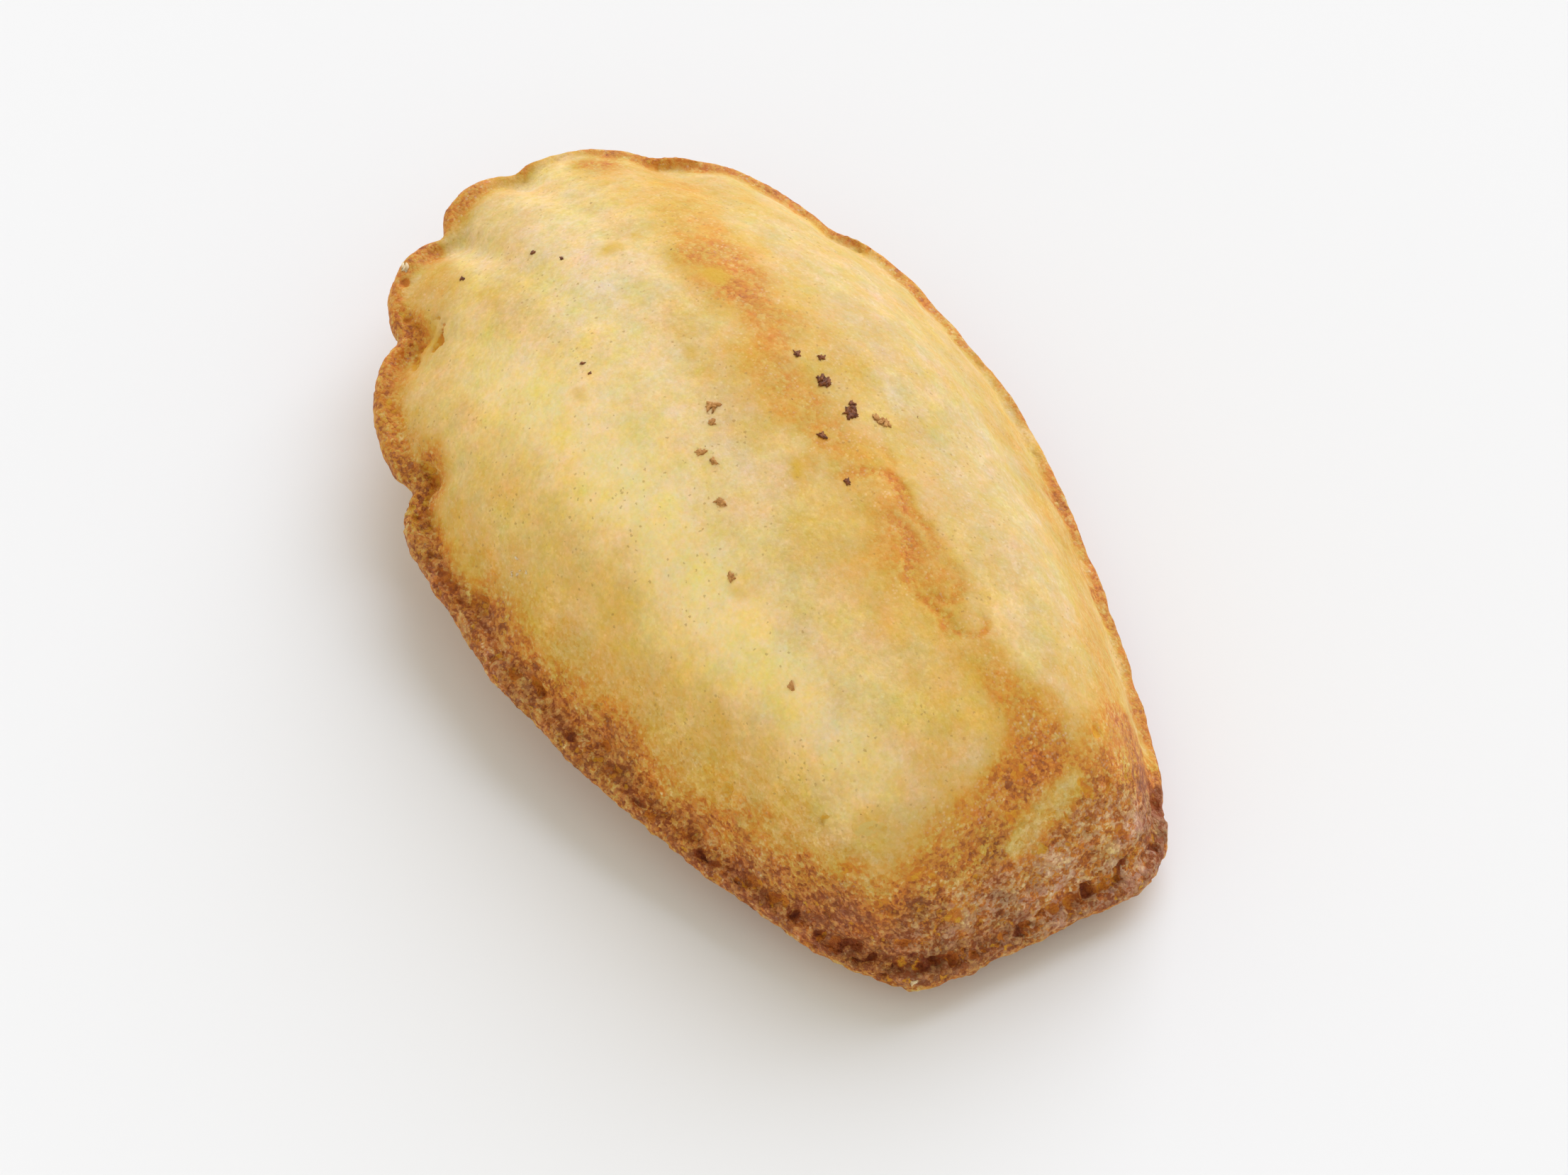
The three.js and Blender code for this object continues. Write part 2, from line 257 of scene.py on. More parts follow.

# ---- Pits ------------------------------------------------------
# x, y, half length, half width, turn in degrees on the surface, depth, painted shade. The wall and
# the painted shade and glow end between these multiples of a pit's half size.
PIT_WALL = (0.5, 1.3)
PIT_SHADE_REACH = (0.4, 1.6)
PITS = (
    # on the top
    (19.8, -15.0, 0.85, 0.5, 62, 0.3, 0.28), (26.7, -11.4, 0.85, 0.35, 90, 0.25, 0.16),
    (29.9, -8.8, 0.45, 0.4, 60, 0.15, 0.1), (29.3, -9.6, 1.0, 0.55, 75, 0.12, 0.0),
    (8.0, -19.0, 0.4, 0.3, 0, 0.3, 0.3), (31.2, 8.4, 0.6, 0.45, 30, 0.25, 0.4),
    # on the lip of the near side
    (-32.8, -11.6, 0.45, 0.4, 0, 0.25, 0.5), (-23.5, -18.3, 0.9, 0.5, -10, 0.15, 0.42),
    (1.5, -22.0, 0.5, 0.35, 0, 0.3, 0.5), (3.5, -21.0, 1.1, 0.45, 3, 0.45, 0.6),
    (8.1, -21.0, 0.6, 0.45, 10, 0.55, 0.9), (10.2, -19.6, 0.55, 0.35, 20, 0.3, 0.55),
    (15.3, -19.5, 0.7, 0.42, 10, 0.5, 0.8), (16.6, -19.4, 0.5, 0.4, 0, 0.25, 0.6),
    (21.0, -18.0, 0.6, 0.5, 0, 0.6, 0.95), (22.1, -17.5, 0.7, 0.25, 20, 0.35, 0.8),
    (24.1, -17.0, 0.28, 0.25, 0, 0.35, 0.8), (24.9, -16.0, 0.7, 0.45, 20, 0.15, 0.5),
    (27.0, -15.2, 0.7, 0.35, 25, 0.2, 0.55), (28.7, -14.8, 0.45, 0.3, 30, 0.45, 0.95),
    (30.5, -14.1, 0.45, 0.28, 30, 0.4, 0.95),
    # on the wall of the narrow end
    (37.9, 7.3, 0.9, 0.36, 100, 0.5, 0.95), (37.4, 10.3, 0.7, 0.3, 40, 0.4, 0.8),
    (38.1, 3.9, 0.5, 0.42, 100, 0.45, 0.95), (38.1, -1.8, 0.5, 0.35, 90, 0.4, 0.95),
    (37.7, 0.1, 0.6, 0.25, 95, 0.25, 0.6), (35.4, 1.2, 0.4, 0.4, 0, 0.15, 0.2),
    (35.9, 3.6, 0.35, 0.2, 40, 0.15, 0.4), (36.9, -8.1, 0.7, 0.5, 80, 0.4, 0.95),
    (34.7, 12.6, 0.5, 0.4, 0, 0.25, 0.85), (35.2, -10.0, 0.7, 0.4, 60, 0.2, 0.6),
    # patches on it and on its shoulder where the skin has come off
    (33.9, 5.9, 0.9, 0.3, 10, 0.12, 0.42), (34.2, 7.7, 0.8, 0.2, 10, 0.12, 0.45),
    (36.4, 7.6, 0.8, 0.5, 10, 0.12, 0.5), (31.5, 1.7, 0.7, 0.5, 60, 0.12, 0.42),
    (34.8, 4.0, 0.9, 0.22, 20, 0.1, 0.36), (33.3, -0.2, 0.7, 0.45, 40, 0.12, 0.42),
    (33.0, -8.0, 0.7, 0.3, 80, 0.1, 0.45), (33.7, -6.8, 0.5, 0.25, 0, 0.1, 0.48),
    (35.8, -6.0, 0.8, 0.55, 0, 0.12, 0.38), (32.9, -10.4, 0.8, 0.35, 60, 0.1, 0.45),
    (29.8, -11.5, 0.5, 0.45, 0, 0.1, 0.44),
)
# Cracks, and the crease between the lip and the body: x, y, half width, painted shade at each point
CRACKS = (
    ((-27.6, -12.2, 0.35, 0.3), (-26.3, -12.1, 0.4, 0.4), (-25.3, -13.2, 0.35, 0.35)),
    ((-30.3, -13.0, 0.45, 0.35), (-28.2, -13.3, 0.5, 0.5)),
    ((-26.9, -13.8, 0.45, 0.35), (-25.6, -14.9, 0.5, 0.35)),
    ((-17.2, -18.6, 0.35, 0.3), (-16.0, -18.6, 0.4, 0.45), (-15.3, -19.1, 0.4, 0.4),
     (-14.6, -20.0, 0.4, 0.35)),
    ((-15.1, -21.2, 0.45, 0.25), (-13.2, -21.8, 0.4, 0.3), (-11.8, -22.1, 0.45, 0.5),
     (-10.2, -22.1, 0.5, 0.8), (-8.8, -22.1, 0.5, 0.7), (-7.7, -22.1, 0.45, 0.6),
     (-6.2, -22.1, 0.5, 0.8), (-4.7, -21.2, 0.45, 0.5)),
    ((31.3, -14.0, 0.4, 0.5), (32.6, -13.3, 0.45, 0.9), (34.0, -12.4, 0.5, 0.9), (35.4, -11.4, 0.55, 1.0),
     (36.3, -10.2, 0.6, 1.0), (37.2, -8.4, 0.5, 0.9), (37.6, -6.6, 0.4, 0.7), (37.9, -4.0, 0.35, 0.5),
     (38.1, -1.8, 0.4, 0.8), (38.0, 0.2, 0.35, 0.5), (38.2, 2.0, 0.3, 0.4), (38.1, 3.9, 0.4, 0.8),
     (38.2, 5.6, 0.3, 0.5), (38.1, 7.0, 0.3, 0.5)),
)
CRACK_DEPTH = 0.5
CRACK_PALE_SHARE = 0.4  # of that depth, where a crack isn't dark
CRACK_LEAST = 0.001  # a smaller share of a crack counts as this
# Cracks close and open along their length
CRACK_BREAKS = (0.9, 3, 1.0, 300.0)
CRACK_BREAKS_RISE = (-0.5, 0.5)
CRACK_OPENING = (0.15, 1.25)

# ---- Crumbs ----------------------------------------------------
# A crumb's grains: their least size, their size as a share of the crumb's width, how closely they
# lie, how far in from its edge they stay and how high they sit, both as shares of their size. Then
# how much their size varies, their length and width as multiples of it, and how ragged they are.
GRAIN_SIZE = 0.3
GRAIN_SHARE = 0.4
GRAIN_CLOSENESS = 1.6
GRAIN_INSET = 0.7
GRAIN_HEIGHT = 0.1
GRAIN_SPREAD = (0.8, 1.3)
GRAIN_LENGTH = 1.8
GRAIN_WIDTH = 0.75
GRAIN_RAGGED = (0.8, 2, 0.9)
GRAIN_SHIFT = 31.7
CRUMB_SEEDS = 97  # grain seeds set aside for each crumb
ABOVE_CAKE = 40.0  # where the search for the crust under a grain starts
# x, y, length, width in millimetres, turn in degrees
BURNT_CRUMBS = (
    (-1.3, 5.9, 1.15, 0.95, 20), (1.9, 6.2, 1.7, 0.8, -38), (-4.4, 5.6, 0.6, 0.4, 0),
    (-3.4, 7.1, 0.6, 0.5, 40), (2.7, 3.2, 0.8, 0.3, -45), (7.2, 2.5, 0.55, 0.3, 0),
    (-28.9, -8.7, 0.6, 0.25, 50), (-26.4, -3.9, 0.6, 0.18, 35), (-23.8, -2.9, 0.5, 0.2, 10),
    (-13.0, -7.6, 0.25, 0.2, 0), (-11.8, -7.7, 0.25, 0.2, 0),
)
TAN_CRUMBS = (
    (3.5, 7.8, 1.5, 0.6, 30), (-3.4, -2.3, 0.8, 0.6, 60), (-2.2, -3.1, 0.5, 0.4, 0),
    (-0.5, -5.1, 0.7, 0.5, 30), (0.6, -4.8, 0.4, 0.35, 0), (3.8, -6.1, 0.7, 0.5, 20),
    (18.5, -9.3, 0.5, 0.4, 0), (9.0, -8.4, 0.5, 0.4, 0),
)
WHITE_CRUMBS = (
    (-34.1, -10.9, 0.7, 0.4, 30), (37.3, -10.1, 0.4, 0.25, 90), (-4.4, -18.2, 0.5, 0.12, 20),
    (-3.6, -18.6, 0.6, 0.12, 80), (-3.1, -18.2, 0.4, 0.1, -30), (-4.0, -18.9, 0.4, 0.1, 140),
)


# ---- Small tools -----------------------------------------------
def turned(vectors, angle):
    """Directions turned about the Y axis, so that +X goes down for an angle above zero."""
    x, y, z = np.asarray(vectors, float).T
    cos, sin = math.cos(angle), math.sin(angle)
    return np.array((x * cos + z * sin, y, z * cos - x * sin)).T


def to_rim(points):
    """World metres to rim-frame millimetres."""
    return turned(points / MM - RIM_MIDDLE, -REST_PITCH)


def from_rim(points):
    """Rim-frame millimetres to world metres."""
    return (turned(points, REST_PITCH) + RIM_MIDDLE) * MM


RIM_UP = turned((0.0, 0.0, 1.0), REST_PITCH)


def rise(values, low, high):
    """A smooth step from 0 at low to 1 at high."""
    t = np.clip((values - low) / (high - low), 0.0, 1.0)
    return t * t * (3 - 2 * t)


def blend(low, high, share):
    """From low to high as the share goes from 0 to 1."""
    return low + (high - low) * share


def over(below, above):
    """Lays one browning over another, so that they add up to no more than 1."""
    return 1 - (1 - below) * (1 - above)


class Noise:
    """Smooth gradient noise on a seeded lattice, about -1 to 1."""

    LATTICE = 256
    GAIN = 1.7
    OCTAVE_SHIFT = 17.3

    def __init__(self, seed):
        rng = np.random.default_rng(seed)
        self.order = rng.permutation(self.LATTICE)
        slopes = rng.normal(size=(self.LATTICE, 3))
        self.slopes = slopes / np.linalg.norm(slopes, axis=1, keepdims=True)

    def __call__(self, points, size):
        place = points / size
        cell = np.floor(place).astype(int)
        inside = place - cell
        fade = inside ** 3 * (inside * (inside * 6 - 15) + 10)
        last = self.LATTICE - 1
        total = np.zeros(len(points))
        for corner in itertools.product((0, 1), repeat=3):
            key = cell + corner
            pick = self.order[key[:, 0] & last]
            pick = self.order[(pick + key[:, 1]) & last]
            pick = self.order[(pick + key[:, 2]) & last]
            height = np.einsum("ij,ij->i", self.slopes[pick], inside - corner)
            weight = np.prod(np.where(np.array(corner) == 1, fade, 1 - fade), axis=1)
            total += weight * height
        return total * self.GAIN

    def layers(self, points, size, octaves, strength, shift):
        """Layers of noise, each half as large and half as strong as the one before."""
        total = np.zeros(len(points))
        for octave in range(octaves):
            moved = points + shift + self.OCTAVE_SHIFT * octave
            total += self(moved, size / 2 ** octave) / 2 ** octave
        return strength * total

    def wobble(self, points, layer, shifts):
        """Layers of noise along as many axes as there are shifts."""
        return np.column_stack([self.layers(points, *layer, shift) for shift in shifts])


# ---- The crust's mesh ------------------------------------------
def vertex_array(mesh, what):
    flat = np.empty(len(mesh.vertices) * 3)
    mesh.vertices.foreach_get(what, flat)
    return flat.reshape(-1, 3)


def smooth_copy(node, name):
    """A smooth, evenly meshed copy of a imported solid."""
    mesh = node.data.copy()
    bm = bmesh.new()
    bm.from_mesh(mesh)
    bmesh.ops.remove_doubles(bm, verts=bm.verts, dist=WELD)
    angles = {"angle_face_threshold": JOIN_FACE_ANGLE, "angle_shape_threshold": JOIN_SHAPE_ANGLE}
    bmesh.ops.join_triangles(bm, faces=bm.faces, **angles)
    bm.to_mesh(mesh)
    bm.free()
    piece = bpy.data.objects.new(name, mesh)
    bpy.context.collection.objects.link(piece)
    subdivision = piece.modifiers.new("smooth", "SUBSURF")
    subdivision.levels = SMOOTH_LEVELS
    remesh = piece.modifiers.new("even", "REMESH")
    remesh.mode = "VOXEL"
    remesh.voxel_size = VOXEL
    depsgraph = bpy.context.evaluated_depsgraph_get()
    even = bpy.data.meshes.new_from_object(piece.evaluated_get(depsgraph))
    piece.modifiers.clear()
    piece.data = even
    even.name = name
    even.materials.clear()
    refine(even)
    even.shade_smooth()
    return piece


def refine(mesh):
    """Halves the mesh's edges along the near lip, on the narrow end's wall and round the curls."""
    places = vertex_array(mesh, "co")
    x, y, z = to_rim(places).T
    inset = distance_to(cake_outline(places), np.column_stack((x, y)))
    near = (inset < FINE_INSET) & (y - NEAR_SLANT * x < FINE_NEAR_Y)
    torn = (near | (x > FINE_NARROW_X)) & (z > FINE_BOTTOM)
    curls = (x > FINE_CURLS_X[0]) & (x < FINE_CURLS_X[1]) & (y > FINE_CURLS_Y[0]) & (y < FINE_CURLS_Y[1])
    fine = torn | (curls & (z > 0))
    bm = bmesh.new()
    bm.from_mesh(mesh)
    bm.verts.ensure_lookup_table()
    edges = [edge for edge in bm.edges if fine[edge.verts[0].index] and fine[edge.verts[1].index]]
    bmesh.ops.subdivide_edges(bm, edges=edges, cuts=1, use_grid_fill=True, smooth=REFINE_SMOOTH)
    bm.to_mesh(mesh)
    bm.free()


def cake_outline(places):
    """The rim's outline, seen square on: its outermost point in every degree, and steps between."""
    points = to_rim(places)[:, :2]
    bearing = np.degrees(np.arctan2(points[:, 1], points[:, 0])).astype(int) % 360
    reach = np.hypot(points[:, 0], points[:, 1])
    corners = []
    for degree in range(360):
        here = np.flatnonzero(bearing == degree)
        if len(here):
            corners.append(points[here[np.argmax(reach[here])]])
    corners = np.array(corners)
    following = np.roll(corners, -1, axis=0)
    steps = np.linspace(0.0, 1.0, OUTLINE_STEPS, endpoint=False)[:, None, None]
    return (corners + (following - corners) * steps).transpose(1, 0, 2).reshape(-1, 2)


def distance_to(outline, points):
    """How far each point is from the outline, seen square on."""
    tree = kdtree.KDTree(len(outline))
    for number, (x, y) in enumerate(outline):
        tree.insert((x, y, 0.0), number)
    tree.balance()
    return np.array([tree.find((x, y, 0.0))[2] for x, y in points])


class Crust:
    """The crust's points, with the measures that its shape and its colours are made from."""

    SHELL_BOTTOM = (-1.3, -0.3)  # the shell's measures fade out here, below the rim
    UPWARD = 0.1  # what faces up less than this can't be the middle of a spot
    OUT_OF_REACH = 1000.0  # millimetres
    OFF_SHELL = 10.0  # keeps a spot away from what lies below the shell

    def __init__(self, piece):
        self.mesh = piece.data
        self.places = vertex_array(self.mesh, "co")
        self.normals = vertex_array(self.mesh, "normal")
        self.rim = to_rim(self.places)
        self.facing = turned(self.normals, -REST_PITCH)
        self.inset = distance_to(cake_outline(self.places), self.rim[:, :2])
        self.shell = rise(self.rim[:, 2], *self.SHELL_BOTTOM)
        self.coarse = self.coarseness()
        self.hollow = np.zeros(len(self.places))
        self.hollow_shade = np.zeros(len(self.places))
        self.relief = np.zeros(len(self.places))

    def coarseness(self):
        """Where the crumb is coarse and craggy: the lip, the low near side and the narrow end."""
        x, y, z = self.rim.T
        lip = 1 - rise(self.inset, *COARSE_LIP_INSET)
        lip *= blend(COARSE_LIP_FAR_SHARE, 1.0, rise(NEAR_SLANT * x - y, *COARSE_LIP_NEAR))
        lip *= blend(COARSE_LIP_WIDE_SHARE, 1.0, rise(x, *COARSE_LIP_X))
        side = COARSE_SIDE_SHARE * (1 - rise(self.inset, *COARSE_SIDE_INSET))
        side *= rise(-y, *COARSE_SIDE_NEAR) * rise(x, *COARSE_SIDE_X)
        narrow = rise(x, *COARSE_NARROW_X)
        above_bottom = blend(COARSE_BOTTOM_SHARE, 1.0, rise(z, *COARSE_BOTTOM))
        return np.maximum.reduce((lip, side, narrow)) * above_bottom

    def paint(self, name, values):
        layer = self.mesh.attributes.new(name, "FLOAT", "POINT")
        layer.data.foreach_set("value", np.clip(values, 0.0, 1.0))

    def spot(self, x, y, half_length, half_width, turn, wobble):
        """How far out each point lies in an oval on the top: 0 in its middle, 1 on its edge."""
        seen = np.hypot(self.rim[:, 0] - x, self.rim[:, 1] - y)
        middle = np.argmin(seen + self.OUT_OF_REACH * (self.facing[:, 2] < self.UPWARD))
        normal = self.facing[middle]
        first = np.array((1.0, 0.0, 0.0)) - normal[0] * normal
        first /= np.linalg.norm(first)
        second = np.cross(normal, first)
        cos, sin = math.cos(math.radians(turn)), math.sin(math.radians(turn))
        away = self.rim - self.rim[middle] + wobble
        along = away @ (cos * first + sin * second) / half_length
        across = away @ (cos * second - sin * first) / half_width
        return np.hypot(along, across) + self.OFF_SHELL * (1 - self.shell)

    def sink(self, share, hollow_shade):
        """Marks a hollow: 1 in the middle and 0 outside, and how much painted shade it gets."""
        deeper = share > self.hollow
        self.hollow[deeper] = share[deeper]
        self.hollow_shade = np.where(deeper, hollow_shade, self.hollow_shade)

    def stroke(self, path, wander):
        """How strongly a brush stroke lies on each point of the top."""
        points = self.rim[:, :2] + wander
        strongest = np.zeros(len(points))
        for start, end in zip(path, path[1:]):
            first = np.array(start[:2])
            span = np.array(end[:2]) - first
            share = np.clip((points - first) @ span / (span @ span), 0.0, 1.0)
            distance = np.linalg.norm(points - first - share[:, None] * span, axis=1)
            width = blend(start[2], end[2], share)
            strength = blend(start[3], end[3], share)
            strongest = np.maximum(strongest, strength * (1 - rise(distance / width, *STROKE_FADE)))
        return strongest * self.shell


def raise_crumb(crust, noise):
    """Unevenness and grit all over, and crags and pores with painted shade where the crumb is coarse."""
    crags = sum(noise.layers(crust.rim, *layer) for layer in CRAGS)
    pores = rise(noise.layers(crust.rim, *PORES), *PORES_OPEN)
    crust.sink(PORE_HOLLOW * crust.coarse * pores, PORE_SHADE)
    crust.relief = noise.layers(crust.rim, *GRIT) + crust.coarse * (crags - PORE_DEPTH * pores)
    waves = noise.layers(crust.rim * LIP_WAVES_SQUEEZE, *LIP_WAVES) * (crust.inset < LIP_WAVES_INSET)
    return noise.layers(crust.rim, *SWELL) + crust.relief + waves


def open_cracks(crust, noise, wobble):
    """How deep each point lies in the cracks, which it marks as hollows with painted shade."""
    opening = blend(*CRACK_OPENING, rise(noise.layers(crust.rim, *CRACK_BREAKS), *CRACK_BREAKS_RISE))
    depth = np.zeros(len(crust.rim))
    for path in CRACKS:
        whole_path = [(x, y, half_width, 1.0) for x, y, half_width, _ in path]
        crack = crust.stroke(whole_path, wobble[:, :2])
        hollow_shade = crust.stroke(path, wobble[:, :2]) / np.maximum(crack, CRACK_LEAST)
        crack *= opening
        depth += CRACK_DEPTH * crack * blend(CRACK_PALE_SHARE, 1.0, hollow_shade)
        crust.sink(crack, hollow_shade)
    return depth


def sink_pits(crust, wobble):
    """How deep each point lies in the pits, which it marks as hollows with painted shade and glow."""
    depth = np.zeros(len(crust.rim))
    for x, y, half_length, half_width, turn, pit_depth, hollow_shade in PITS:
        out = crust.spot(x, y, half_length, half_width, turn, wobble)
        depth += pit_depth * (1 - rise(out, *PIT_WALL))
        crust.sink(1 - rise(out, *PIT_SHADE_REACH), hollow_shade)
    return depth


def shape_crust(crust):
    """Unevenness and crags, the curls in the band, the torn crevice over the lip, and the pits."""
    noise = Noise(SEED_SHAPE)
    wobble = noise.wobble(crust.rim, EDGE_WOBBLE, EDGE_WOBBLE_SHIFTS)
    offset = raise_crumb(crust, noise)
    for path in CURLS:
        offset -= CURL_DEPTH * crust.stroke(path, CURL_WOBBLE * wobble[:, :2])
    offset -= open_cracks(crust, noise, wobble)
    offset -= sink_pits(crust, wobble)
    crust.places += crust.normals * (offset * MM)[:, None]
    crust.places[:, 2] = np.maximum(crust.places[:, 2], 0.0)
    crust.mesh.vertices.foreach_set("co", crust.places.ravel())
    crust.mesh.update()


def brown_edge(crust, noise):
    """The browning along the rim: on the near side, and all round."""
    x, y, _ = crust.rim.T
    wavy = crust.inset + noise.layers(crust.rim, *EDGE_WAVES)
    near = rise(-y, *EDGE_NEAR)
    reach = np.interp(x, EDGE_X, EDGE_REACH)
    edge = 1 - rise(wavy, EDGE_FADE[0] * reach, EDGE_FADE[1] * reach)
    edge *= near * np.interp(x, EDGE_X, EDGE_BROWN)
    far = (1 - rise(wavy, *FAR_EDGE_INSET)) * (1 - near) * FAR_EDGE_BROWN
    return edge, np.maximum(edge, far)


def browning(crust, noise, wander, edge, scar):
    """How baked each point is: the top by its strokes, then what stays pale, and the underside."""
    baked = BASE_BROWN + noise.layers(crust.rim, *BROWN_DRIFT) + noise.layers(crust.rim, *BROWN_MOTTLE)
    for path in STROKES:
        baked = over(baked, crust.stroke(path, wander))
    for path in CURLS:
        baked = over(baked, crust.stroke(path, CURL_WANDER * wander))
    baked = over(baked, edge)
    wall = rise(crust.rim[:, 0] + NARROW_WANDER * wander[:, 0], *NARROW_BROWN_X)
    baked = over(baked, NARROW_BROWN * wall)
    for path in PALE_STROKES:
        baked *= 1 - crust.stroke(path, wander)
    beneath = UNDER_BROWN + noise.layers(crust.rim, *UNDER_MOTTLE)
    beneath += UNDER_RIM_BROWN * (1 - rise(crust.inset, *UNDER_RIM_INSET))
    return blend(beneath, baked, crust.shell) * (1 - SCAR_PALENESS * scar)


def pinkness(crust, wander, near_edge, scar):
    """How pinkish the torn crumb is."""
    x, y, _ = crust.rim.T
    wall = rise(x + PINK_WALL_WANDER * wander[:, 1], *PINK_WALL_X) * crust.shell * (1 - scar)
    pink = np.maximum(wall, PINK_EDGE * near_edge * rise(x, *PINK_EDGE_X))
    outermost = 1 - rise(crust.inset, *PINK_LIP_INSET)
    pink *= 1 - PINK_LIP_LOSS * outermost * rise(-y, *PINK_LIP_LOSS_NEAR)
    on_lip = (crust.inset < PINK_LIP_INSET[1]) * crust.shell
    return np.maximum(pink, PINK_LIP * crust.coarse * on_lip * rise(x, *PINK_LIP_X))


def yellowness(crust, wander):
    """How yellow the crust is: 0.5 where it is neither yellow nor chalky."""
    yellow = sum(crust.stroke(path, wander) for path in YELLOW_STROKES)
    chalky = sum(crust.stroke(path, wander) for path in CHALKY_STROKES)
    return 0.5 + 0.5 * (yellow - chalky)


def yolk_spots(crust, noise):
    wobble = noise.wobble(crust.rim, YOLK_WOBBLE, YOLK_WOBBLE_SHIFTS)
    yolk = np.zeros(len(crust.rim))
    for x, y, half_length, half_width, turn, strength in YOLK_SPOTS:
        out = crust.spot(x, y, half_length, half_width, turn, wobble)
        yolk = np.maximum(yolk, strength * (1 - rise(out, *YOLK_EDGE)))
    return yolk


def paint_crust(crust):
    """Gives the mesh the measures that its material reads."""
    noise = Noise(SEED_BROWNING)
    wander = noise.wobble(crust.rim, STROKE_WANDER, STROKE_WANDER_SHIFTS)
    near_edge, edge = brown_edge(crust, noise)
    scar = crust.stroke([(x, y, width, 1.0) for x, y, width in PALE_SCAR], SCAR_WANDER * wander)
    crust.paint("baked", browning(crust, noise, wander, edge, scar))
    crust.paint("rosy", pinkness(crust, wander, near_edge, scar))
    crust.paint("yellow", yellowness(crust, wander))
    crust.paint("yolk", yolk_spots(crust, noise))
    crust.paint("hollow", crust.hollow)
    crust.paint("hollow_shade", crust.hollow_shade)
    crust.paint("coarse", crust.coarse)
    # The relief, which the material turns into painted shade in low crumb and painted light on raised crumb
    crust.paint("relief", 0.5 + crust.relief / RELIEF_RANGE)


# ---- Materials -------------------------------------------------
def linear(red, green, blue):
    """A colour given as 0 to 255 on a screen, as the light values that shaders use."""
    def channel(value):
        value /= 255
        return value / 12.92 if value <= 0.04045 else ((value + 0.055) / 1.055) ** 2.4
    return (channel(red), channel(green), channel(blue), 1.0)


Cells = collections.namedtuple("Cells", "chance tint distance")


class Nodes:
    """Adds nodes to a new material; an input given as a socket is linked, and a value is set."""

    CELL_NOISE = (2.0, 0.5)  # detail and roughness of the noise that makes cells ragged
    CELL_NOISE_SHARE = 1 / 3  # of the cells' size
    CELL_RAGGEDNESS = 0.5
    DOT_EDGE = (1.2, 0.8)

    def __init__(self, name):
        self.material = bpy.data.materials.new(name)
        self.material.use_nodes = True
        self.tree = self.material.node_tree
        self.shader = self.tree.nodes["Principled BSDF"]
        self.place = self.add("TexCoord").outputs["Object"]

    def add(self, kind, inputs=None, **settings):
        node = self.tree.nodes.new("ShaderNode" + kind)
        for name, value in settings.items():
            setattr(node, name, value)
        self.fill(node, inputs or {})
        return node

    def fill(self, node, inputs):
        for key, value in inputs.items():
            if isinstance(value, bpy.types.NodeSocket):
                self.tree.links.new(value, node.inputs[key])
            else:
                node.inputs[key].default_value = value

    def measure(self, name):
        return self.add("Attribute", attribute_name=name).outputs["Fac"]

    def texture(self, size, detail, roughness):
        inputs = {"Vector": self.place, "Scale": 1 / (size * MM), "Detail": detail, "Roughness": roughness}
        return self.add("TexNoise", inputs)

    def noise(self, size, detail, roughness):
        return self.texture(size, detail, roughness).outputs["Fac"]

    def tints(self, size, detail, roughness, spread):
        """Colours about white, to multiply by; red, green and blue stray by the spread."""
        colour = self.texture(size, detail, roughness).outputs["Color"]
        middle = tuple(1 - value / 2 for value in spread)
        return self.shifted(colour, spread, middle)

    def shifted(self, vector, factor, addend):
        return self.add("VectorMath", {0: vector, 1: factor, 2: addend}, operation="MULTIPLY_ADD").outputs[0]

    def cells(self, size):
        """Ragged cells: two random values for each, and the distance from its middle."""
        wobble = self.texture(size * self.CELL_NOISE_SHARE, *self.CELL_NOISE).outputs["Color"]
        ragged_place = self.shifted(wobble, (self.CELL_RAGGEDNESS * size * MM,) * 3, self.place)
        cells = self.add("TexVoronoi", {"Vector": ragged_place, "Scale": 1 / (size * MM)})
        chance = self.add("SeparateColor", {0: cells.outputs["Color"]})
        return Cells(chance.outputs[0], chance.outputs[1], cells.outputs["Distance"])

    def dots(self, size, radius, share):
        """Ragged dots in a share of the cells of that size."""
        cells = self.cells(size)
        outer, inner = self.DOT_EDGE
        inside = self.span(cells.distance, outer * radius / size, inner * radius / size)
        return self.times(inside, self.maths("LESS_THAN", cells.chance, share))

    def maths(self, operation, first, second):
        return self.add("Math", {0: first, 1: second}, operation=operation).outputs[0]

    def times(self, first, second):
        return self.maths("MULTIPLY", first, second)

    def total(self, first, *others):
        for other in others:
            first = self.maths("ADD", first, other)
        return first

    def about_zero(self, value, strength):
        """A noise of 0 to 1 as a value around 0."""
        return self.times(self.maths("SUBTRACT", value, 0.5), strength)

    def span(self, value, low, high, to_low=0.0, to_high=1.0):
        inputs = {"Value": value, "From Min": low, "From Max": high, "To Min": to_low, "To Max": to_high}
        return self.add("MapRange", inputs, interpolation_type="SMOOTHSTEP").outputs["Result"]

    def mix(self, factor, first, second, blend_type="MIX"):
        node = self.add("Mix", {0: factor, 6: first, 7: second}, data_type="RGBA", blend_type=blend_type)
        return node.outputs[2]

    def ramp(self, factor, stops):
        node = self.add("ValToRGB", {"Fac": factor})
        elements = node.color_ramp.elements
        elements[0].position, elements[0].color = stops[0]
        elements[1].position, elements[1].color = stops[-1]
        for position, colour in stops[1:-1]:
            elements.new(position).color = colour
        return node.outputs["Color"]


